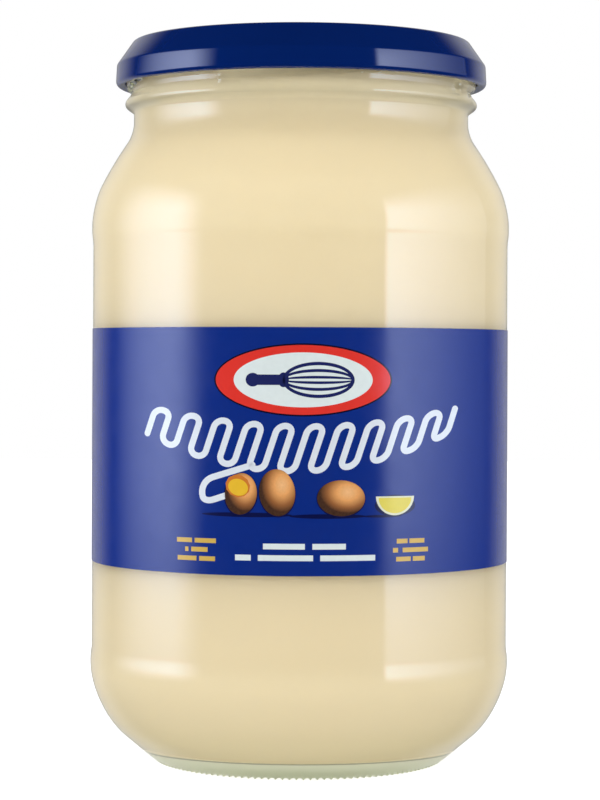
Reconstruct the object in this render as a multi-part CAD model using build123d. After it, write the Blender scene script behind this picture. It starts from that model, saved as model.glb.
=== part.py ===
from build123d import *
import os
from math import cos, degrees, radians, sin, tan

# A jar of mayonnaise: a blown glass jar with a lug finish, filled nearly to the rim,
# closed with a tinplate lug cap and wrapped in a paper label. Millimetres. The jar
# stands on the XY plane, its axis is Z, and the label's printed side faces -Y.

# Whole jar
height = 141.15  # ground to the top of the cap
body_radius = 41.1  # at the contact bands above the heel and below the shoulder

# Glass: the wall, the base and the heel
wall = 2.4
floor_height = 5.0  # inside floor at the foot of the wall
floor_rise = 1.0  # how far the middle of the inside floor stands up
floor_crown_radius = 12.0
floor_foot_radius = 24.0
floor_rounding = 20.0
heel_wall = 3.4
inner_foot_rounding = 4.0  # where the inside floor meets the heel
inner_heel_rounding = 12.0  # where the heel meets the wall
push_up = 2.5  # hollow under the base
push_up_radius = 16.0
push_up_rounding = 20.0
bearing_inner_radius = 22.0
bearing_outer_radius = 25.0
bearing_rounding = 8.0
heel_foot_radius = 28.8
heel_foot_height = 0.4
heel_foot_rounding = 2.5
heel_lean = 50.0  # degrees from upright, spreading upwards
heel_rounding = 18.0

# Glass: the let-in panel that the label sits in, between two contact bands
contact_band = 1.5
panel_depth = 0.25
panel_ramp = 1.6
band_rounding = 4.0

# Glass: the shoulder, a rounded edge and then a steadier slope up to the neck
shoulder_edge = 3.6  # width of the rounded edge's chord
shoulder_edge_lean = 26.0
shoulder_edge_rounding = 18.0
shoulder_lean = 33.7
shoulder_rounding = 60.0

# Glass: the neck and the finish that the cap grips
neck_radius = 33.0
neck_wall = 2.8
neck_length = 4.1  # up to the bead from where the shoulder's slope would meet the neck
neck_root_rounding = 7.0
bead_reach = 2.15  # neck out to the bead's unrounded edge
bead_foot = 1.55  # height of the bead below its edge
bead_head = 2.3  # height of the bead above its edge
bead_rounding = 1.0
bead_root_rounding = 0.5
finish_step = 0.3  # neck out to the wall above the bead
rim_rounding = 1.0
thread_count = 4
thread_tube = 1.25
thread_sink = 0.05  # how far the thread's centre line lies inside the wall
thread_angle = 80.0
thread_low_end = -27.0  # degrees round from the front, positive towards +X
thread_lead = 4.6  # degrees of climb
thread_lift = 0.1  # middle of a thread above the middle of the cap's curl

# Mayonnaise
fill_drop = 5.0  # rim down to its level

# Label
paper = 0.12
label_height = 45.35
label_lap = 8.0  # glued overlap, at the back

# Cap
cap_metal = 0.25
cap_depth = 8.9
cap_bevel_depth = 4.73
cap_flare = 0.15  # how much wider the skirt is at its curl
cap_crest_inset = 0.2  # wall above the bead in to the crest's outer edge
skirt_gap = 1.65  # between a thread and the skirt
bore_gap = 0.1  # bore in to the crest's inner edge
bead_gap = 1.35  # between the curl and the bead
curl_radius = 0.95
lug_count = 4
lug_gap = 0.45  # between a lug and the wall of the finish
lug_drop = 0.55  # middle of a lug below the middle of the curl
lug_thickness = 0.75
lug_angle = 16.0
lug_start = 42.0  # degrees round from the front, positive towards +X
cap_panel_depth = 1.5
cap_panel_ramp = 1.1
cap_step_width = 5.0
cap_step = 0.35
button_radius = 12.5
button_rise = 0.5
press_rounding = 0.9

# What follows from these
rim_height = height - cap_metal
panel_radius = body_radius - panel_depth
inner_radius = panel_radius - wall
bore_radius = neck_radius - neck_wall
finish_radius = neck_radius + finish_step
thread_path_radius = finish_radius - thread_sink
curl_height = height - cap_depth + curl_radius
bead_height = height - cap_depth - bead_gap - bead_head
cap_top_radius = thread_path_radius + thread_tube + skirt_gap + cap_metal
cap_radius = cap_top_radius + cap_flare


def turned(face, angle=360.0):
    """The solid made by turning a (radius, height) face about Z, from +X."""
    return revolve(Plane.XZ * face, Axis.Z, revolution_arc=angle)


def ring_face(inner, outer, low, high):
    """Section of a square-edged ring."""
    corners = [(inner, low), (outer, low), (outer, high), (inner, high)]
    return make_face(Polyline(corners, close=True))


def eased(corners, closed=True):
    """Roundings of (radius, height, rounding) corners, smaller where a run is too short."""
    points = [Vector(r, z) for r, z, _ in corners]
    runs = [b - a for a, b in zip(points, points[1:] + points[:1])]
    bends = [runs[i - 1].get_angle(run) for i, run in enumerate(runs)]
    reach = [c[2] * tan(radians(bend / 2)) for c, bend in zip(corners, bends)]
    if not closed:
        reach[0] = reach[-1] = 0
    share = []
    for run, here, there in zip(runs, reach, reach[1:] + reach[:1]):
        share.append(min(1, 0.98 * run.length / max(here + there, 1e-6)))
    return [c[2] * min(share[i - 1], share[i]) for i, c in enumerate(corners)]


def rounded_face(corners):
    """Section bounded by a line through (radius, height, rounding) corners."""
    points = [(r, z) for r, z, _ in corners]
    return make_face(FilletPolyline(points, radius=eased(corners), close=True))


def radius_at(line, z):
    """Radius at height z of a (radius, height, lean) line, which leans inwards by degrees."""
    return line[0] - (z - line[1]) * tan(radians(line[2]))


def crossing(a, b):
    """Radius and height where two such lines cross."""
    z = (radius_at(b, 0) - radius_at(a, 0)) / (tan(radians(b[2])) - tan(radians(a[2])))
    return radius_at(a, z), z


def heel_line(inset):
    """The heel's slope, inset from its outside."""
    foot = heel_foot_radius - inset / cos(radians(heel_lean))
    return foot, heel_foot_height, -heel_lean


def shoulder(side_radius, top_radius, inset):
    """Corners of the shoulder's skin, inset from its outside, from the bottom up."""
    edge = min(shoulder_edge, 0.45 * (body_radius - neck_radius))
    break_radius = body_radius - edge
    root_height = bead_height - bead_foot - neck_length
    rise = (break_radius - neck_radius) / tan(radians(shoulder_lean))
    break_height = root_height - rise
    lines = [
        (side_radius, 0, 0),
        (
            break_radius - inset / cos(radians(shoulder_edge_lean)),
            break_height,
            shoulder_edge_lean,
        ),
        (
            break_radius - inset / cos(radians(shoulder_lean)),
            break_height,
            shoulder_lean,
        ),
        (top_radius, 0, 0),
    ]
    places = [crossing(a, b) for a, b in zip(lines, lines[1:])]
    roundings = (
        shoulder_edge_rounding - inset,
        shoulder_rounding - inset,
        neck_root_rounding + inset,
    )
    return [(r, z, rounding) for (r, z), rounding in zip(places, roundings)]


def panel():
    """Heights of the two ends of the label's panel, between the contact bands."""
    heel_height = crossing(heel_line(0), (body_radius, 0, 0))[1]
    heel_reach = heel_rounding * tan(radians(heel_lean / 2))
    edge_height = shoulder(body_radius, neck_radius, 0)[0][1]
    edge_reach = shoulder_edge_rounding * tan(radians(shoulder_edge_lean / 2))
    margin = contact_band + panel_ramp
    return heel_height + heel_reach + margin, edge_height - edge_reach - margin


def jar_outside():
    """Corners of the glass's outer skin, from under the base up to the rim."""
    panel_low, panel_high = panel()
    return [
        (0, push_up, 0),
        (push_up_radius, push_up, push_up_rounding),
        (bearing_inner_radius, 0, bearing_rounding),
        (bearing_outer_radius, 0, bearing_rounding),
        (heel_foot_radius, heel_foot_height, heel_foot_rounding),
        (*crossing(heel_line(0), (body_radius, 0, 0)), heel_rounding),
        (body_radius, panel_low - panel_ramp, band_rounding),
        (panel_radius, panel_low, band_rounding),
        (panel_radius, panel_high, band_rounding),
        (body_radius, panel_high + panel_ramp, band_rounding),
        *shoulder(body_radius, neck_radius, 0),
        (neck_radius, bead_height - bead_foot, bead_root_rounding),
        (neck_radius + bead_reach, bead_height, bead_rounding),
        (finish_radius, bead_height + bead_head, bead_root_rounding),
        (finish_radius, rim_height, rim_rounding),
    ]


def cavity(top):
    """Corners of the inside of the glass, from the middle of its floor up to top."""
    heel = heel_line(heel_wall)
    return [
        (0, floor_height + floor_rise, 0),
        (floor_crown_radius, floor_height + floor_rise, floor_rounding),
        (floor_foot_radius, floor_height, floor_rounding),
        (radius_at(heel, floor_height), floor_height, inner_foot_rounding),
        (*crossing(heel, (inner_radius, 0, 0)), inner_heel_rounding),
        *shoulder(inner_radius, bore_radius, wall),
        (bore_radius, top, rim_rounding),
    ]


def thread(index):
    """One climbing ridge of the finish: a bent round bar with ball ends, cut off in the wall."""
    bar = Torus(thread_path_radius, thread_tube, major_angle=thread_angle)
    bar = Rotation(0, 0, -thread_angle / 2) * bar
    for end in (-thread_angle / 2, thread_angle / 2):
        across = thread_path_radius * cos(radians(end))
        along = thread_path_radius * sin(radians(end))
        bar += Pos(across, along) * Sphere(thread_tube)
    bar = Pos(0, 0, curl_height + thread_lift) * Rotation(thread_lead, 0, 0) * bar
    bar -= Cylinder(finish_radius - neck_wall / 2, 2 * height)
    turn = thread_low_end + thread_angle / 2 - 90 + index * 360 / thread_count
    return Rotation(0, 0, turn) * bar


def jar():
    """The empty glass, with the threads standing out of its finish."""
    glass = turned(rounded_face(jar_outside() + cavity(rim_height)[::-1]))
    for index in range(thread_count):
        glass += thread(index)
    return glass


def mayonnaise():
    """The fill: all of the glass's inside, up to a level just below the rim."""
    level = rim_height - fill_drop
    skin = cavity(level)[:-1] + [(bore_radius, level, 0), (0, level, 0)]
    return turned(rounded_face(skin))


def label():
    """The paper wrap in its panel, with a second thickness at the lap."""
    middle = sum(panel()) / 2
    low, high = middle - label_height / 2, middle + label_height / 2
    outside = panel_radius + paper
    lap_angle = degrees(label_lap / outside)
    lap = turned(ring_face(outside, outside + paper, low, high), lap_angle)
    wrap = turned(ring_face(panel_radius, outside, low, high))
    return wrap + Rotation(0, 0, 90 - lap_angle / 2) * lap


def cap_skin():
    """Corners of the cap's outside, from the middle of its top to its curl."""
    panel = height - cap_panel_depth
    crest_inside = bore_radius - bore_gap
    panel_radius_low = crest_inside - cap_panel_ramp
    step_radius = panel_radius_low - cap_step_width
    return [
        (0, panel + button_rise, 0),
        (button_radius, panel + button_rise, press_rounding),
        (button_radius + 2 * button_rise, panel, press_rounding),
        (step_radius, panel, press_rounding),
        (step_radius + 2 * cap_step, panel - cap_step, press_rounding),
        (panel_radius_low, panel - cap_step, press_rounding),
        (crest_inside, height, press_rounding),
        (finish_radius - cap_crest_inset, height, press_rounding),
        (cap_top_radius, height - cap_bevel_depth, press_rounding),
        (cap_radius, curl_height, 0),
    ]


def lug(index):
    """One lug, bent inwards from the curl to pass under a thread."""
    inner, outer = finish_radius + lug_gap, cap_radius - curl_radius
    middle = curl_height - lug_drop
    low, high = middle - lug_thickness / 2, middle + lug_thickness / 2
    turn = lug_start - 90 - lug_angle / 2 + index * 360 / lug_count
    return Rotation(0, 0, turn) * turned(ring_face(inner, outer, low, high), lug_angle)


def cap():
    """The lug cap: one pressed sheet whose edge is rolled into a curl, with its lugs."""
    skin = cap_skin()
    bends = eased(skin, closed=False)[1:-1]
    outside = FilletPolyline([(r, z) for r, z, _ in skin], radius=bends)
    sheet = make_face(offset(outside, cap_metal, side=Side.RIGHT, closed=True))
    curl = Pos(cap_radius - curl_radius, curl_height) * Circle(curl_radius)
    pressed = turned(sheet + curl)
    for index in range(lug_count):
        pressed += lug(index)
    return pressed


os.makedirs("parts", exist_ok=True)
export_step(jar(), "parts/jar.step")
export_step(mayonnaise(), "parts/mayonnaise.step")
export_step(label(), "parts/label.step")
export_step(cap(), "parts/cap.step")
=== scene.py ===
from math import cos, hypot, pi, radians, sin, tan, tau

import bpy
import numpy as np
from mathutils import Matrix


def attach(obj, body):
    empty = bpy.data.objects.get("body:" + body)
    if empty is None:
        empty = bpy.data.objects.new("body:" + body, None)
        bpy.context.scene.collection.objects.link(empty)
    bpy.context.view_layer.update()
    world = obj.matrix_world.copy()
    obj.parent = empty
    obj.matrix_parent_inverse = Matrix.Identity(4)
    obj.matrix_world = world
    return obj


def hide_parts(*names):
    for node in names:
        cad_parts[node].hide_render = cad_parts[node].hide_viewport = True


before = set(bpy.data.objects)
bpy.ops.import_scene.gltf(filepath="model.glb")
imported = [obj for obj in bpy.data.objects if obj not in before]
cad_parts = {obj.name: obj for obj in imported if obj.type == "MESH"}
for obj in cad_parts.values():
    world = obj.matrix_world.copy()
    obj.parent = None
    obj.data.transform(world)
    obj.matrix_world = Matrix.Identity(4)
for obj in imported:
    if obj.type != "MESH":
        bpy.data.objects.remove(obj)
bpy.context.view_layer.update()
bpy.ops.object.select_all(action="DESELECT")

# ---------------------------------------------------------------------------
# The jar: clear flint glass, blown in a two-part mould. Its wall is 2.4 mm thick, its
# base stands on a knurled ring round a shallow push-up, a let-in panel takes the label,
# and the finish has a bead and four threads for the lug cap.
# ---------------------------------------------------------------------------
MM = 0.001
jar_steps = 540
finish_radius = 33.3
thread_radius = 34.5
thread_height = 133.3
thread_rise = 33.25 * tan(radians(4.6))
jar_corners = [  # radius, height, reach of the rounding, steps in it
    (0, 2.5, 0, 0),
    (16, 2.5, 4.0, 6),
    (22, 0, 1.6, 5),
    (25, 0, 0.42, 3),
    (28.8, 0.4, 0.764, 5),
    (41.1, 10.721, 8.394, 12),
    (41.1, 20.614, 0.75, 3),
    (40.85, 22.214, 0.75, 3),
    (40.85, 101.566, 0.75, 3),
    (41.1, 103.166, 0.75, 3),
    (41.1, 108.821, 4.082, 9),
    (37.5, 116.203, 3.966, 6),
    (33, 122.95, 2.12, 9),
    (33, 127.05, 0.256, 4),
    (35.15, 128.6, 1.054, 8),
    (finish_radius, 130.9, 0.176, 3),
    (finish_radius, 140.9, 1.0, 6),
    (30.2, 140.9, 1.0, 5),
    (30.2, 122.823, 2.847, 5),
    (35.414, 115.005, 3.519, 3),
    (38.45, 108.78, 3.269, 5),
    (38.45, 12.936, 5.596, 8),
    (28.993, 5, 1.456, 5),
    (24, 5, 0.832, 3),
    (12, 6, 0.832, 3),
    (0, 6, 0, 0),
]


def pick_points(piece, chosen):
    """Select only the points for which chosen(x, y, z, outward) holds, and go to edit mode.
    x, y and z are in mm, and outward is how far a point's normal faces away from the axis."""
    bpy.ops.object.mode_set(mode="OBJECT")
    mesh = piece.data
    places = np.empty(len(mesh.vertices) * 3)
    normals = np.empty(len(mesh.vertices) * 3)
    mesh.vertices.foreach_get("co", places)
    mesh.vertices.foreach_get("normal", normals)
    x, y, z = places.reshape(-1, 3).T / MM
    nx, ny, _ = normals.reshape(-1, 3).T
    outward = (nx * x + ny * y) / np.maximum(np.hypot(x, y), 1e-6)
    points = chosen(x, y, z, outward)
    ends = np.empty(len(mesh.edges) * 2, int)
    mesh.edges.foreach_get("vertices", ends)
    mesh.vertices.foreach_set("select", points)
    mesh.edges.foreach_set("select", points[ends.reshape(-1, 2)].all(axis=1))
    mesh.polygons.foreach_set("select", np.zeros(len(mesh.polygons), bool))
    bpy.ops.object.mode_set(mode="EDIT")


def draw_line(name, corners):
    """A new piece in edit mode: one line through the corners, each rounded by its reach."""
    bpy.ops.mesh.primitive_plane_add(size=MM, location=(0, 0, 0))
    piece = bpy.context.object
    piece.name = piece.data.name = name
    bpy.ops.object.mode_set(mode="EDIT")
    bpy.ops.mesh.select_all(action="SELECT")
    bpy.ops.mesh.merge(type="CENTER")
    bpy.ops.transform.translate(value=(corners[0][0] * MM, 0, corners[0][1] * MM))
    for here, there in zip(corners, corners[1:]):
        step = ((there[0] - here[0]) * MM, 0, (there[1] - here[1]) * MM)
        bpy.ops.mesh.extrude_region_move(TRANSFORM_OT_translate={"value": step})
    for radius, height, reach, steps in corners:
        if reach:
            pick_points(piece, lambda x, y, z, out: np.hypot(x - radius, z - height) < 1e-3)
            bpy.ops.mesh.bevel(affect="VERTICES", offset=reach * MM, segments=steps)
    return piece


def cut_run(piece, start, end, cuts):
    """Divide the straight run of a line between two of its (radius, height) points."""
    def on_run(x, y, z, out):
        along = np.hypot(x - start[0], z - start[1]) + np.hypot(x - end[0], z - end[1])
        return along < hypot(start[0] - end[0], start[1] - end[1]) + 1e-3
    pick_points(piece, on_run)
    bpy.ops.mesh.subdivide(number_cuts=cuts)


def spin_line(piece, steps):
    """Turn the line once round the jar's axis and close it, with its faces outwards."""
    bpy.ops.mesh.select_all(action="SELECT")
    bpy.ops.mesh.spin(steps=steps, angle=tau, center=(0, 0, 0), axis=(0, 0, 1))
    bpy.ops.mesh.select_all(action="SELECT")
    bpy.ops.mesh.remove_doubles(threshold=0.001 * MM)
    bpy.ops.mesh.normals_make_consistent(inside=False)


def degrees_between(a, b):
    """Signed difference of two bearings, from -180 to 180."""
    return (a - b + 180) % 360 - 180


def bearing(x, y):
    """Degrees round from the front, positive towards +X."""
    return np.degrees(np.arctan2(x, -y))


def smooth(piece, angle=35):
    bpy.ops.object.mode_set(mode="OBJECT")
    bpy.ops.object.shade_smooth_by_angle(angle=radians(angle))


jar = draw_line("glass_jar", jar_corners)
# The finish's wall is divided for the threads, and the bearing ring for the knurls.
cut_run(jar, (finish_radius, 131.076), (finish_radius, 139.9), 29)
cut_run(jar, (25.42, 0.044), (28.04, 0.32), 3)
spin_line(jar, jar_steps)

# The threads climb 4.6 degrees and stand 1.2 mm proud.
proud = thread_radius / finish_radius
for index in range(4):
    middle = 13 + 90 * index

    def on_thread(x, y, z, out):
        turn = degrees_between(bearing(x, y), middle)
        climb = thread_height + thread_rise * np.sin(np.radians(turn))
        wall = abs(np.hypot(x, y) - finish_radius) < 0.05
        return wall & (abs(turn) < 39.5) & (abs(z - climb) < 0.16)

    pick_points(jar, on_thread)
    bpy.ops.transform.resize(
        value=(proud, proud, 1), center_override=(0, 0, 0),
        use_proportional_edit=True, proportional_edit_falloff="SPHERE", proportional_size=1.25 * MM,
    )

# The knurls under the base are 135 short bars across the bearing ring.
pick_points(
    jar,
    lambda x, y, z, out: (np.round(np.degrees(np.arctan2(y, x)) * jar_steps / 360) % 4 == 0)
    & (np.hypot(x, y) > 25.2) & (np.hypot(x, y) < 28.45) & (z < 0.6),
)
bpy.ops.transform.resize(value=(1, 1, 0.1), center_override=(0, 0, 0))

# The mould's two seams are hairlines 0.05 mm proud, left off the contact bands and label.
for seam in (-8 / 3, 180 - 8 / 3):
    def on_seam(x, y, z, out):
        clear = ((z > 2) & (z < 18.5)) | ((z > 23.2) & (z < 38.8))
        clear |= ((z > 85) & (z < 100.6)) | ((z > 105) & (z < 127))
        return (abs(degrees_between(bearing(x, y), seam)) < 0.2) & (out > 0.3) & clear

    pick_points(jar, on_seam)
    bpy.ops.transform.resize(value=(1.0012, 1.0012, 1), center_override=(0, 0, 0))
smooth(jar)


def new_finish(name, **plain):
    """A material with one Principled shader, whose sockets take the plain values."""
    finish = bpy.data.materials.new(name)
    finish.use_nodes = True
    shader = finish.node_tree.nodes["Principled BSDF"]
    for socket, value in plain.items():
        shader.inputs[socket.replace("_", " ")].default_value = value
    return finish, finish.node_tree, shader


def grain(tree, scale, detail=2.0, stretch=(1, 1, 1)):
    """Noise fixed to the piece, as a socket from 0 to 1. Scale is in grains per metre."""
    place = tree.nodes.new("ShaderNodeTexCoord")
    shape = tree.nodes.new("ShaderNodeMapping")
    shape.inputs["Scale"].default_value = stretch
    noise = tree.nodes.new("ShaderNodeTexNoise")
    noise.inputs["Scale"].default_value = scale
    noise.inputs["Detail"].default_value = detail
    tree.links.new(place.outputs["Object"], shape.inputs["Vector"])
    tree.links.new(shape.outputs["Vector"], noise.inputs["Vector"])
    return noise.outputs["Fac"]


def relief(tree, shader, height, depth, socket="Normal"):
    """Let a height, in units of depth metres, shape the surface."""
    bump = tree.nodes.new("ShaderNodeBump")
    bump.inputs["Strength"].default_value = 1
    bump.inputs["Distance"].default_value = depth
    tree.links.new(height, bump.inputs["Height"])
    tree.links.new(bump.outputs["Normal"], shader.inputs[socket])


def go_from(tree, value, start, full, low=0, high=1, soft=False):
    """A number that goes from low to high while value goes from start to full."""
    step = tree.nodes.new("ShaderNodeMapRange")
    if soft:
        step.interpolation_type = "SMOOTHSTEP"
    ends = {"From Min": start, "From Max": full, "To Min": low, "To Max": high}
    for socket, number in ends.items():
        step.inputs[socket].default_value = number
    tree.links.new(value, step.inputs["Value"])
    return step.outputs["Result"]


def spread(tree, fac, low, high):
    """A number from low to high that follows the middle of a grain's range."""
    return go_from(tree, fac, 0.3, 0.7, low, high)


def reckon(tree, operation, *numbers):
    """The result of a Math node. Each number is a socket or a plain value."""
    node = tree.nodes.new("ShaderNodeMath")
    node.operation = operation
    for socket, number in zip(node.inputs, numbers):
        if isinstance(number, (int, float)):
            socket.default_value = number
        else:
            tree.links.new(number, socket)
    return node.outputs[0]


def blend(tree, fac, low, high):
    """A colour between low and high. Each is a plain colour or a socket."""
    mix = tree.nodes.new("ShaderNodeMix")
    mix.data_type = "RGBA"
    tree.links.new(fac, mix.inputs["Factor"])
    for end, colour in (("A", low), ("B", high)):
        socket = next(s for s in mix.inputs if s.name == end and s.type == "RGBA")
        if isinstance(colour, tuple):
            socket.default_value = (*colour, 1)
        else:
            tree.links.new(colour, socket)
    return next(s for s in mix.outputs if s.type == "RGBA")


clear_glass, tree, shader = new_finish(
    "clear_glass", Base_Color=(1, 1, 1, 1), Roughness=0.0, IOR=1.52, Transmission_Weight=1.0
)
relief(tree, shader, grain(tree, 70, stretch=(1, 1, 0.35)), 0.00004)
tint = tree.nodes.new("ShaderNodeVolumeAbsorption")
tint.inputs["Color"].default_value = (0.72, 0.90, 0.66, 1)
tint.inputs["Density"].default_value = 25
tree.links.new(tint.outputs["Volume"], tree.nodes["Material Output"].inputs["Volume"])
jar.data.materials.append(clear_glass)
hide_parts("jar")
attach(jar, "root")

# ---------------------------------------------------------------------------
# The mayonnaise: a smooth pale cream emulsion, filled to 5 mm below the rim. It wets the
# glass all over, so its skin reaches 0.15 mm into the wall. Under its foot, where it is seen
# through the thick base, its colour is painted paler and greener, standing in for the light
# that comes up through the green glass, and a thin dark line of painted shade runs round the edge.
# ---------------------------------------------------------------------------
fill = draw_line("mayonnaise_fill", [
    (0, 5.85, 0, 0),
    (12, 5.85, 0.83, 4),
    (24, 4.85, 0.83, 4),
    (29.047, 4.85, 1.51, 6),
    (38.6, 12.866, 5.66, 14),
    (38.6, 108.815, 3.3, 8),
    (35.544, 115.08, 3.53, 5),
    (30.35, 122.87, 2.82, 8),
    (30.35, 135.9, 0, 0),
    (0, 135.9, 0, 0),
])
spin_line(fill, 240)
smooth(fill)
cream, tree, shader = new_finish("mayonnaise_cream", Specular_IOR_Level=0.05)
cloud = blend(tree, grain(tree, 45, 3), (0.95, 0.785, 0.52), (0.945, 0.775, 0.505))
place = tree.nodes.new("ShaderNodeTexCoord")
parts = tree.nodes.new("ShaderNodeSeparateXYZ")
off_axis = tree.nodes.new("ShaderNodeVectorMath")
off_axis.operation = "MULTIPLY"
off_axis.inputs[1].default_value = (1, 1, 0)
from_axis = tree.nodes.new("ShaderNodeVectorMath")
from_axis.operation = "LENGTH"
tree.links.new(place.outputs["Object"], parts.inputs["Vector"])
tree.links.new(place.outputs["Object"], off_axis.inputs[0])
tree.links.new(off_axis.outputs["Vector"], from_axis.inputs[0])
# Radius and height added together grow from the middle of the foot to its edge.
along_foot = reckon(tree, "ADD", from_axis.outputs["Value"], parts.outputs["Z"])
# Painted light: the underside of the foot is painted pale and greener for the light through the base,
# then a thin ring of painted dark shade, then the cream's own mottled colour.
cream_and_painted_foot = (0.90, 0.86, 0.69)
for low, high, above in ((32.3, 32.6, (0.36, 0.31, 0.20)), (33.0, 33.6, cloud)):
    cream_and_painted_foot = blend(tree, go_from(tree, along_foot, low * MM, high * MM), cream_and_painted_foot, above)
tree.links.new(cream_and_painted_foot, shader.inputs["Base Color"])
tree.links.new(spread(tree, grain(tree, 400), 0.45, 0.6), shader.inputs["Roughness"])
relief(tree, shader, grain(tree, 60, 2), 0.00001)
fill.data.materials.append(cream)
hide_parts("mayonnaise")
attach(fill, "root")

# ---------------------------------------------------------------------------
# The label: one strip of coated paper, printed blue and varnished, wrapped round the
# let-in panel and glued where its end laps over its start, at the back.
# ---------------------------------------------------------------------------
paper_thickness = 0.118
paper_radius = 40.91
paper_low = 39.215
paper_high = 84.565
lap_bearing = 11.2
glue_thickness = 0.003

label = draw_line("label_wrap", [(paper_radius, paper_low, 0, 0), (paper_radius, paper_high, 0, 0)])
bpy.ops.mesh.select_all(action="SELECT")
bpy.ops.mesh.spin(steps=358, angle=radians(358), center=(0, 0, 0), axis=(0, 0, 1), use_auto_merge=False)
lap_out = 1 + (paper_thickness + glue_thickness) / paper_radius
bpy.ops.transform.resize(value=(lap_out, lap_out, 1), center_override=(0, 0, 0))
bpy.ops.mesh.spin(
    steps=13, angle=radians(2 + lap_bearing), center=(0, 0, 0), axis=(0, 0, 1), use_auto_merge=False
)
bpy.ops.object.mode_set(mode="OBJECT")
label.rotation_euler.z = radians(90 - lap_bearing / 2)
bpy.ops.object.transform_apply(rotation=True)
sheet = label.modifiers.new("paper", "SOLIDIFY")
sheet.thickness = paper_thickness * MM
sheet.offset = 0
sheet.material_offset = 1
sheet.material_offset_rim = 1
bpy.ops.object.modifier_apply(modifier="paper")
smooth(label)


def printed(name, colour, gloss=0.24):
    """Ink on varnished paper: a colour with a faint mottle, and the paper's fine tooth."""
    ink, tree, shader = new_finish(name, Specular_IOR_Level=0.44)
    mottle = 0.05
    paler = tuple(min(1.0, c * (1 + mottle) + 0.002 * mottle) for c in colour)
    deeper = tuple(c * (1 - mottle) for c in colour)
    tree.links.new(blend(tree, grain(tree, 900, 4), deeper, paler), shader.inputs["Base Color"])
    tree.links.new(spread(tree, grain(tree, 300), gloss - 0.03, gloss + 0.03), shader.inputs["Roughness"])
    relief(tree, shader, grain(tree, 1500, 3), 0.000003)
    return ink, tree, shader


blue_ink = printed("blue_ink", (0.0003, 0.022, 0.20), gloss=0.21)[0]
bare_paper = printed("bare_paper", (0.78, 0.77, 0.74), gloss=0.5)[0]
label.data.materials.append(blue_ink)
label.data.materials.append(bare_paper)
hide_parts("label")
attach(label, "root")

# ---------------------------------------------------------------------------
# The nameplate: a wide oval of red with a white middle and a dark hairline round it,
# 33 mm across, with a navy whisk lying in it. It's ink a few micrometres thick.
# ---------------------------------------------------------------------------
plate_x = 0.6
plate_z = 74.95
wires = ((3.3, 0.62), (2.0, 0.56), (0.75, 0.5))  # half height and thickness
print_plane = -50 * MM  # where flat shapes are drawn, in front of the label


def flat_disc(x, z, half_width, half_height, turn=0, points=96):
    """An oval that faces the front. Turn is in degrees."""
    bpy.ops.mesh.primitive_circle_add(
        vertices=points, radius=1, fill_type="NGON", location=(x * MM, print_plane, z * MM),
        rotation=(pi / 2, radians(turn), 0),
    )
    bpy.context.object.scale = (half_width * MM, half_height * MM, 1)
    bpy.ops.object.transform_apply(location=True, rotation=True, scale=True)
    return bpy.context.object


def flat_bar(x, z, width, height):
    """A rectangle that faces the front, given by its middle."""
    bpy.ops.mesh.primitive_plane_add(
        size=1, location=(x * MM, print_plane, z * MM), rotation=(pi / 2, 0, 0)
    )
    bpy.context.object.scale = (width * MM, height * MM, 1)
    bpy.ops.object.transform_apply(location=True, rotation=True, scale=True)
    return bpy.context.object


def flat_hoop(x, z, half_width, half_height, line):
    """An oval outline of even width that faces the front."""
    bpy.ops.mesh.primitive_circle_add(vertices=64, radius=1, fill_type="NOTHING", rotation=(pi / 2, 0, 0))
    hoop = bpy.context.object
    hoop.scale = (half_width * MM, half_height * MM, 1)
    bpy.ops.object.transform_apply(location=True, rotation=True, scale=True)
    bpy.ops.object.mode_set(mode="EDIT")
    bpy.ops.mesh.select_all(action="SELECT")
    bpy.ops.mesh.extrude_region_move()
    inner = ((half_width - line) / half_width, 1, (half_height - line) / half_height)
    bpy.ops.transform.resize(value=inner, center_override=(0, 0, 0))
    bpy.ops.object.mode_set(mode="OBJECT")
    hoop.location = (x * MM, print_plane, z * MM)
    bpy.ops.object.transform_apply(location=True, rotation=True, scale=True)
    return hoop


def gather(name, pieces):
    """Join flat shapes into one piece."""
    bpy.ops.object.select_all(action="DESELECT")
    for piece in pieces:
        piece.select_set(True)
    bpy.context.view_layer.objects.active = pieces[0]
    if len(pieces) > 1:
        bpy.ops.object.join()
    pieces[0].name = pieces[0].data.name = name
    return pieces[0]


def lay_print(name, pieces, ink, layer, round_by=0):
    """Cut flat shapes into upright strips, lay them on the label's front in a layer of ink
    above those already there, and then turn them round the jar by round_by degrees."""
    piece = gather(name, pieces)
    across = [v.co.x / MM for v in piece.data.vertices]
    bpy.ops.object.mode_set(mode="EDIT")
    for x in np.arange(min(across) + 0.8, max(across), 0.8):
        bpy.ops.mesh.select_all(action="SELECT")
        bpy.ops.mesh.bisect(plane_co=(x * MM, 0, 0), plane_no=(1, 0, 0))
    bpy.ops.mesh.select_all(action="SELECT")
    bpy.ops.mesh.normals_make_consistent(inside=False)
    bpy.ops.object.mode_set(mode="OBJECT")
    lay = piece.modifiers.new("lay", "SHRINKWRAP")
    lay.wrap_method = "PROJECT"
    lay.use_project_x = lay.use_project_z = False
    lay.use_project_y = True
    lay.use_negative_direction = False
    lay.use_positive_direction = True
    lay.target = label
    lay.offset = (0.006 + 0.008 * layer) * MM
    bpy.ops.object.modifier_apply(modifier="lay")
    body = piece.modifiers.new("body", "SOLIDIFY")
    body.thickness = 0.005 * MM
    body.offset = 0
    bpy.ops.object.modifier_apply(modifier="body")
    piece.rotation_euler.z = radians(round_by)
    bpy.ops.object.transform_apply(rotation=True)
    piece.data.materials.append(ink)
    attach(piece, "root")
    bpy.ops.object.select_all(action="DESELECT")


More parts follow.
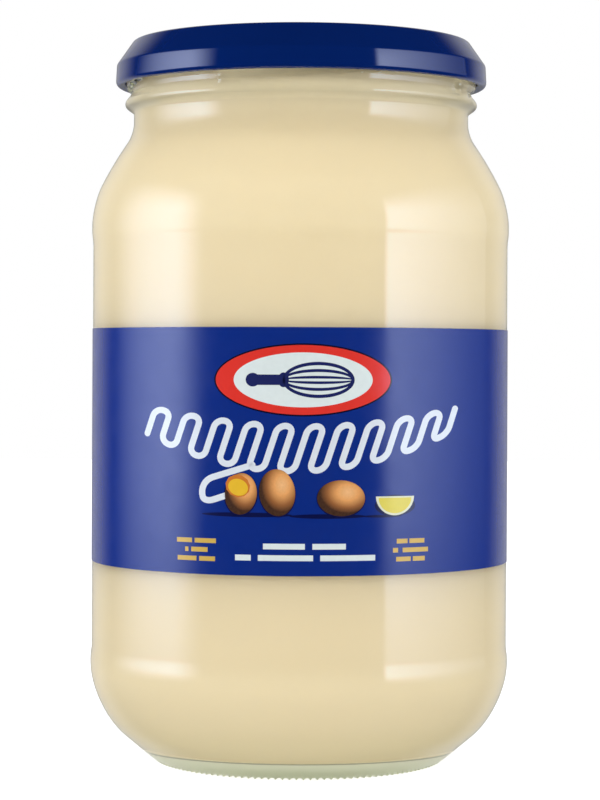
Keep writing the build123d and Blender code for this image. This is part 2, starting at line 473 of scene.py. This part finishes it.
navy_ink = printed("navy_ink", (0.012, 0.018, 0.105))[0]
white_ink = printed("white_ink", (0.78, 0.83, 0.74))[0]
hairline_ink = printed("hairline_ink", (0.001, 0.002, 0.02))[0]
red_ink = printed("red_ink", (0.80, 0.030, 0.016))[0]
lay_print("plate_hairline", [flat_disc(plate_x, plate_z, 16.3, 6.65)], hairline_ink, 1)
lay_print("plate_red", [flat_disc(plate_x, plate_z, 16.0, 6.35)], red_ink, 2)
lay_print("plate_white", [flat_disc(plate_x, plate_z, 12.7, 5.0)], white_ink, 3)
lay_print("plate_whisk", [
    flat_bar(-5.6, plate_z, 5.6, 1.9),
    flat_disc(-8.6, plate_z, 1.3, 1.25),
    *[flat_hoop(3.4, plate_z, 6.6, half_height, line) for half_height, line in wires],
    flat_disc(-3.0, plate_z, 1.0, 1.35),
], navy_ink, 4)

# ---------------------------------------------------------------------------
# The swash: a white slanting wave 1.15 mm thick, drawn across the whole front 58 mm long,
# sagging and tallest in the middle, with a hooked tail under its left half.
# ---------------------------------------------------------------------------
def flat_stroke(name, path, width):
    """A pen stroke of even width along a path of (x, z, reach, steps) corners."""
    piece = draw_line(name, path)
    bpy.ops.mesh.select_all(action="SELECT")
    bpy.ops.mesh.extrude_region_move(TRANSFORM_OT_translate={"value": (0, MM, 0)})
    bpy.ops.mesh.select_all(action="SELECT")
    bpy.ops.mesh.normals_make_consistent(inside=False)
    bpy.ops.object.mode_set(mode="OBJECT")
    widen = piece.modifiers.new("widen", "SOLIDIFY")
    widen.thickness = width * MM
    widen.offset = 0
    bpy.ops.object.modifier_apply(modifier="widen")
    pick_points(piece, lambda x, y, z, out: y > 0.5)
    bpy.ops.mesh.delete(type="VERT")
    bpy.ops.mesh.select_all(action="SELECT")
    bpy.ops.transform.translate(value=(0, print_plane, 0))
    bpy.ops.object.mode_set(mode="OBJECT")
    ends = [flat_disc(x, z, width / 2, width / 2, points=24) for x, z, _, _ in (path[0], path[-1])]
    return [piece, *ends]


swash = []
for turn in range(21):
    x = -27.6 + 2.79 * turn
    middle = 62.4 + 5.2 * (x / 29) ** 2
    swing = 1.5 + 2.6 * sin(pi * (turn + 1) / 22) ** 0.6
    for rise in (-swing, swing) if turn % 2 == 0 else (swing, -swing):
        swash.append((x + 0.33 * rise, middle + rise, 1.36, 6))
swash = [(*swash[0][:2], 0, 0), *swash[1:-1], (*swash[-1][:2], 0, 0)]
hook = [(-8.6, 59.4, 0, 0), (-18.6, 56.2, 2.9, 8), (-17.4, 52.4, 1.7, 8), (-13.6, 53.7, 0, 0)]
pale_ink = printed("pale_ink", (0.76, 0.79, 0.77))[0]
lay_print("white_swash", flat_stroke("swash", swash, 1.15) + flat_stroke("hook", hook, 1.15), pale_ink, 1)

# ---------------------------------------------------------------------------
# The eggs: a cracked one with its yolk showing, one on end and one lying down, each up to
# 9 mm long and lit from the upper right, on a dark shadow.
# ---------------------------------------------------------------------------
shadow_ink = printed("shadow_ink", (0.001, 0.004, 0.055))[0]
lay_print("egg_shadows", [
    flat_disc(-9.6, 50.3, 8.3, 0.42),
    flat_disc(5.2, 50.1, 7.0, 0.42),
    flat_disc(15.2, 50.05, 3.6, 0.25),
    flat_disc(-10.7, 54.0, 3.1, 3.95, 6),
    flat_disc(-4.06, 54.3, 3.4, 4.4, -6),
    flat_disc(7.6, 53.3, 4.5, 3.4, 2),
    flat_disc(17.55, 52.0, 3.75, 1.95),
], shadow_ink, 1)


def egg_ink(name, x, z, half_width, half_height):
    """Brown eggshell, paler to the upper right and dark to the lower left. The tones follow
    the distance from a lit point, in half widths and half heights of the egg."""
    lit_point = (0.28, 0, 0.33)
    fall_off = 0.80
    ink, tree, shader = printed(name, (0.60, 0.31, 0.11))
    place = tree.nodes.new("ShaderNodeTexCoord")
    frame_in = tree.nodes.new("ShaderNodeMapping")
    frame_in.vector_type = "TEXTURE"
    frame_in.inputs["Location"].default_value = (x * MM, 0, z * MM)
    frame_in.inputs["Scale"].default_value = (half_width * MM, 1000, half_height * MM)
    tree.links.new(place.outputs["Object"], frame_in.inputs["Vector"])
    away = tree.nodes.new("ShaderNodeVectorMath")
    away.operation = "DISTANCE"
    away.inputs[1].default_value = lit_point
    tree.links.new(frame_in.outputs["Vector"], away.inputs[0])
    ramp = tree.nodes.new("ShaderNodeValToRGB")
    tones = (
        (0.0, (0.98, 0.54, 0.22)), (0.36, (0.88, 0.39, 0.11)),
        (0.68, (0.34, 0.12, 0.03)), (0.92, (0.05, 0.02, 0.01)),
    )
    for index, (where, tone) in enumerate(tones):
        stop = ramp.color_ramp.elements[index] if index < 2 else ramp.color_ramp.elements.new(where)
        stop.position = where
        stop.color = (*tone, 1)
    tree.links.new(reckon(tree, "MULTIPLY", away.outputs["Value"], fall_off), ramp.inputs["Fac"])
    specks = spread(tree, grain(tree, 2500, 3), 0, 0.12)
    speckled = blend(tree, specks, ramp.outputs["Color"], (0.3, 0.13, 0.05))
    tree.links.new(speckled, shader.inputs["Base Color"])
    return ink


for egg, x, z, half_width, half_height, turn in (
    ("cracked_egg", -10.7, 54.1, 2.93, 3.8, 6),
    ("standing_egg", -4.06, 54.4, 3.28, 4.28, -6),
    ("lying_egg", 7.6, 53.4, 4.38, 3.28, 2),
):
    shell = egg_ink(egg + "_ink", x, z, half_width, half_height)
    lay_print(egg, [flat_disc(x, z, half_width, half_height, turn)], shell, 2)
orange_ink = printed("orange_ink", (0.66, 0.19, 0.02))[0]
lay_print("broken_edge", [flat_disc(-11.25, 55.55, 2.3, 2.05, 20, points=11)], orange_ink, 3)
yolk_ink = printed("yolk_ink", (0.86, 0.50, 0.02))[0]
lay_print("yolk", [flat_disc(-11.2, 55.3, 1.85, 1.5, 20)], yolk_ink, 4)

# ---------------------------------------------------------------------------
# The lemon wedge: half a slice 7 mm across with its cut side up, yellow with a pale rind.
# ---------------------------------------------------------------------------
def half_disc(x, z, half_width, drop):
    """The lower half of an oval whose flat side is at height z."""
    piece = flat_disc(x, z, half_width, drop)
    bpy.ops.object.mode_set(mode="EDIT")
    bpy.ops.mesh.select_all(action="SELECT")
    bpy.ops.mesh.bisect(plane_co=(0, 0, z * MM), plane_no=(0, 0, 1), clear_outer=True)
    bpy.ops.object.mode_set(mode="OBJECT")
    return piece


rind_ink = printed("rind_ink", (0.78, 0.77, 0.52))[0]
lay_print("lemon_rind", [half_disc(17.55, 53.67, 3.55, 3.5)], rind_ink, 2)
lemon_ink = printed("lemon_ink", (0.78, 0.64, 0.06))[0]
lay_print("lemon_flesh", [half_disc(17.55, 53.4, 3.05, 2.85)], lemon_ink, 3)

# ---------------------------------------------------------------------------
# The small print: rows of plain bars that stand for lines of text, yellow at the sides
# and white in the middle, and more of them in two columns at the back.
# ---------------------------------------------------------------------------
def text_row(middle, z, width, height, words):
    """Bars with gaps between them, as wide as the words of one line."""
    bars = []
    left = middle - width / 2
    total = sum(words) + 0.9 * (len(words) - 1)
    for word in words:
        span = width * word / total
        bars.append(flat_bar(left + span / 2, z, span, height))
        left += width * (word + 0.9) / total
    return bars


yellow_ink = printed("yellow_ink", (0.66, 0.42, 0.07))[0]
yellow = []
for middle in (-18.9, 20.5):
    yellow += text_row(middle, 45.4, 7.3 if middle < 0 else 5.2, 0.85, (5, 7))
    yellow += text_row(middle, 43.75, 4.2 if middle < 0 else 6.6, 0.85, (1, 5))
    yellow += text_row(middle, 42.1, 7.0 if middle < 0 else 5.4, 0.85, (6, 5))
lay_print("yellow_lines", yellow, yellow_ink, 1)
white = text_row(0.95, 44.6, 15.1, 1.05, (5, 4)) + text_row(1.1, 42.5, 25.6, 1.05, (2, 7, 7))
lay_print("white_lines", white, white_ink, 1)
for side in (-1, 1):
    back = []
    for row in range(13):
        back += text_row(0, 78 - 2.1 * row, 21, 0.75, (4, 6, 3 + row % 4, 5))
    lay_print("back_lines_" + ("left" if side < 0 else "right"), back, white_ink, 1, side * 118)
lay_print("back_panel", [flat_bar(0, 47, 22, 10)], white_ink, 1, -118)

# ---------------------------------------------------------------------------
# The cap: tinplate 0.25 mm thick, pressed to a stepped top, lacquered blue outside and
# white inside. Its edge is rolled into a curl, from which four lugs are bent inwards.
# ---------------------------------------------------------------------------
tinplate = 0.25
curl_radius = 0.95
curl_middle = (35.6, 133.2)
lug_bearings = [42 + 90 * index for index in range(4)]
curl = []
for turn in range(-10, -290, -20):
    out, up = cos(radians(turn)), sin(radians(turn))
    curl.append((curl_middle[0] + curl_radius * out, curl_middle[1] + curl_radius * up, 0, 0))
cap = draw_line("lug_cap", [
    (0, 140.15, 0, 0),
    (12.5, 140.15, 0.212, 3),
    (13.5, 139.65, 0.212, 3),
    (24, 139.65, 0.212, 3),
    (24.7, 139.3, 0.212, 3),
    (29, 139.3, 0.512, 5),
    (30.1, 141.15, 0.512, 6),
    (33.1, 141.15, 0.469, 6),
    (36.4, 136.42, 0.26, 5),
    (36.55, 133.5, 0, 0),
    *curl,
])
cut_run(cap, (36.412, 136.16), (36.55, 133.5), 6)
spin_line(cap, 360)

# Each lug presses the foot of the skirt in a little.
for lug in lug_bearings:
    pick_points(
        cap,
        lambda x, y, z, out: (abs(degrees_between(bearing(x, y), lug)) < 7)
        & (abs(z - 134.3) < 0.3) & (np.hypot(x, y) > 36),
    )
    bpy.ops.transform.resize(
        value=(0.9965, 0.9965, 1), center_override=(0, 0, 0),
        use_proportional_edit=True, proportional_edit_falloff="SMOOTH", proportional_size=4 * MM,
    )


def pick_faces(piece, chosen):
    """Select only the faces whose middle passes chosen(x, y, z), in mm, and go to edit mode."""
    bpy.ops.object.mode_set(mode="OBJECT")
    mesh = piece.data
    middles = np.empty(len(mesh.polygons) * 3)
    mesh.polygons.foreach_get("center", middles)
    mesh.vertices.foreach_set("select", np.zeros(len(mesh.vertices), bool))
    mesh.edges.foreach_set("select", np.zeros(len(mesh.edges), bool))
    mesh.polygons.foreach_set("select", chosen(*(middles.reshape(-1, 3).T / MM)))
    bpy.ops.object.mode_set(mode="EDIT")
    bpy.ops.mesh.select_mode(type="FACE")


# Each lug is a tab drawn from the curl's inner foot, 1 mm towards the axis.
lug_draw = 33.8 / 34.75
for lug in lug_bearings:
    pick_faces(
        cap,
        lambda x, y, z: (abs(degrees_between(bearing(x, y), lug)) < 8)
        & (abs(z - 132.65) < 0.4) & (np.hypot(x, y) < 35.05) & (np.hypot(x, y) > 34),
    )
    bpy.ops.mesh.extrude_region_move()
    bpy.ops.transform.resize(value=(lug_draw, lug_draw, 1), center_override=(0, 0, 0))
bpy.ops.mesh.select_mode(type="VERT")
smooth(cap)
sheet = cap.modifiers.new("tinplate", "SOLIDIFY")
sheet.thickness = tinplate * MM
sheet.offset = -1
sheet.material_offset = 1
bpy.ops.object.modifier_apply(modifier="tinplate")

lacquer, tree, shader = new_finish(
    "blue_lacquer", Specular_IOR_Level=0.0, Coat_Weight=1.0, Coat_Roughness=0.07, Coat_IOR=1.54
)
blues = blend(tree, grain(tree, 150, 3), (0.0002, 0.0135, 0.105), (0.0003, 0.0145, 0.113))
tree.links.new(blues, shader.inputs["Base Color"])
tree.links.new(spread(tree, grain(tree, 500), 0.28, 0.36), shader.inputs["Roughness"])
relief(tree, shader, grain(tree, 900, 2), 0.000002, "Coat Normal")
white_lacquer, tree, shader = new_finish("white_lacquer", Specular_IOR_Level=0.5)
tree.links.new(
    blend(tree, grain(tree, 150, 3), (0.72, 0.72, 0.70), (0.76, 0.76, 0.74)), shader.inputs["Base Color"]
)
tree.links.new(spread(tree, grain(tree, 500), 0.2, 0.3), shader.inputs["Roughness"])
cap.data.materials.append(lacquer)
cap.data.materials.append(white_lacquer)
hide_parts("cap")
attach(cap, "root")

# ---------------------------------------------------------------------------
# The studio: a white floor and surround, a tall soft box on each side, and a room that is
# dim in front of the jar and pale behind it where it shows in gloss or through the glass.
# ---------------------------------------------------------------------------
# Of the floor, only the disc under the base shows in gloss.
bpy.ops.mesh.primitive_plane_add(size=3, location=(0, 0, -0.5 * MM))
floor = bpy.context.object
floor.name = "floor"
floor.visible_glossy = False
bpy.ops.mesh.primitive_circle_add(vertices=96, radius=31.5 * MM, fill_type="NGON", location=(0, 0, 0))
near_floor = bpy.context.object
near_floor.name = "near_floor"
white_floor, tree, shader = new_finish(
    "white_floor", Base_Color=(0.82, 0.82, 0.82, 1), Roughness=0.9, Specular_IOR_Level=0.0
)
shader.inputs["Emission Color"].default_value = (1, 1, 1, 1)
seen = tree.nodes.new("ShaderNodeLightPath")
direct = reckon(tree, "ADD", seen.outputs["Is Camera Ray"], seen.outputs["Is Transmission Ray"])
tree.links.new(go_from(tree, direct, 0, 1, 0.2, 0.66), shader.inputs["Emission Strength"])
for ground in (floor, near_floor):
    ground.data.materials.append(white_floor)


def hang_card(name, bearing_middle, distance, width, low, high):
    """An upright card that faces the jar's axis and is lit from its own face."""
    across, along = sin(radians(bearing_middle)), -cos(radians(bearing_middle))
    bpy.ops.mesh.primitive_plane_add(
        size=1, location=(across * distance, along * distance, (low + high) / 2),
        rotation=(pi / 2, 0, radians(bearing_middle)),
    )
    card = bpy.context.object
    card.name = name
    card.scale = (width, high - low, 1)
    card.visible_camera = False
    return card


def glow(name, strength, floor_level, fades):
    """Cool light from a soft box. Each fade rises from 0 to 1 across (axis, low, high, power) of
    the card, and floor_level is what is left where the first fade is 0."""
    light = bpy.data.materials.new(name)
    light.use_nodes = True
    tree = light.node_tree
    tree.nodes.clear()
    out = tree.nodes.new("ShaderNodeOutputMaterial")
    emit = tree.nodes.new("ShaderNodeEmission")
    place = tree.nodes.new("ShaderNodeTexCoord")
    parts = tree.nodes.new("ShaderNodeSeparateXYZ")
    tree.links.new(place.outputs["UV"], parts.inputs["Vector"])
    level = None
    for axis, low, high, power in fades:
        fade = reckon(tree, "POWER", go_from(tree, parts.outputs[axis], low, high, soft=True), power)
        if level is None:
            level = go_from(tree, fade, 0, 1, floor_level, strength)
        else:
            level = reckon(tree, "MULTIPLY", level, fade)
    emit.inputs["Color"].default_value = (0.80, 0.90, 1.19, 1)
    tree.links.new(level, emit.inputs["Strength"])
    tree.links.new(emit.outputs["Emission"], out.inputs["Surface"])
    return light


left_box = hang_card("left_soft_box", -85, 0.6, 0.84, -0.10, 0.50)
left_box.data.materials.append(glow("left_glow", 5.5, 0.1, (
    ("X", 0.0, 0.74, 1), ("X", 1.0, 0.67, 1), ("Y", 0, 0.25, 1), ("Y", 1, 0.55, 1),
)))
right_box = hang_card("right_soft_box", 82, 0.6, 0.9375, -0.10, 0.50)
right_box.data.materials.append(glow("right_glow", 5.3, 0.4, (
    ("X", 1.05, -0.05, 1.5), ("X", 0.0, 0.07, 1), ("Y", 0, 0.25, 1), ("Y", 1, 0.55, 1),
)))

world = bpy.data.worlds.new("white_surround")
bpy.context.scene.world = world
world.cycles.sampling_method = "NONE"
world.use_nodes = True
tree = world.node_tree
surround = tree.nodes["Background"]
surround.inputs["Color"].default_value = (1, 1, 1, 1)
seen = tree.nodes.new("ShaderNodeLightPath")
place = tree.nodes.new("ShaderNodeTexCoord")
parts = tree.nodes.new("ShaderNodeSeparateXYZ")
tree.links.new(place.outputs["Generated"], parts.inputs["Vector"])


def toward_backdrop(front, back, start, full):
    """A level that goes from front, in the dark room before the jar, to back, behind it."""
    return go_from(tree, parts.outputs["Y"], start, full, front, back, soft=True)


def toward_sides(front, side):
    """A level that is the same in front, behind and overhead, and rises to the two sides."""
    sideways = reckon(tree, "MULTIPLY", parts.outputs["X"], parts.outputs["X"])
    return go_from(tree, sideways, 0, 1, front, side)


def choose(ray, level, otherwise):
    """One level for a kind of ray, and another for the rest."""
    mix = tree.nodes.new("ShaderNodeMix")
    tree.links.new(seen.outputs[ray], mix.inputs["Factor"])
    for end, value in ((2, otherwise), (3, level)):
        if isinstance(value, float):
            mix.inputs[end].default_value = value
        else:
            tree.links.new(value, mix.inputs[end])
    return mix.outputs[0]


# In gloss, the backdrop is pale with a dark strip straight behind, which outlines the glass.
mirrored = reckon(
    tree, "ADD", toward_backdrop(0.02, 0.58, 0.52, 0.82), toward_backdrop(0.0, -0.35, 0.93, 1.0)
)
level = choose("Is Glossy Ray", mirrored, toward_sides(0.59, 1.1))
edge_glass = toward_backdrop(0.3, 0.7, -0.2, 0.9)
through = choose("Diffuse Depth", toward_sides(1.36, 4.9), edge_glass)
level = choose("Is Transmission Ray", through, level)
level = choose("Is Camera Ray", 1.0, level)
tree.links.new(level, surround.inputs["Strength"])

lens = bpy.data.cameras.new("camera")
camera = bpy.data.objects.new("camera", lens)
bpy.context.scene.collection.objects.link(camera)
camera.location = (0, -0.50214, 0.07845)
camera.rotation_euler = (radians(90), radians(-0.25), 0)
lens.sensor_width = 36
lens.lens = 114.1155
lens.shift_y = -0.0492
bpy.context.scene.camera = camera
bpy.context.scene.view_settings.view_transform = "Standard"

bpy.context.view_layer.update()
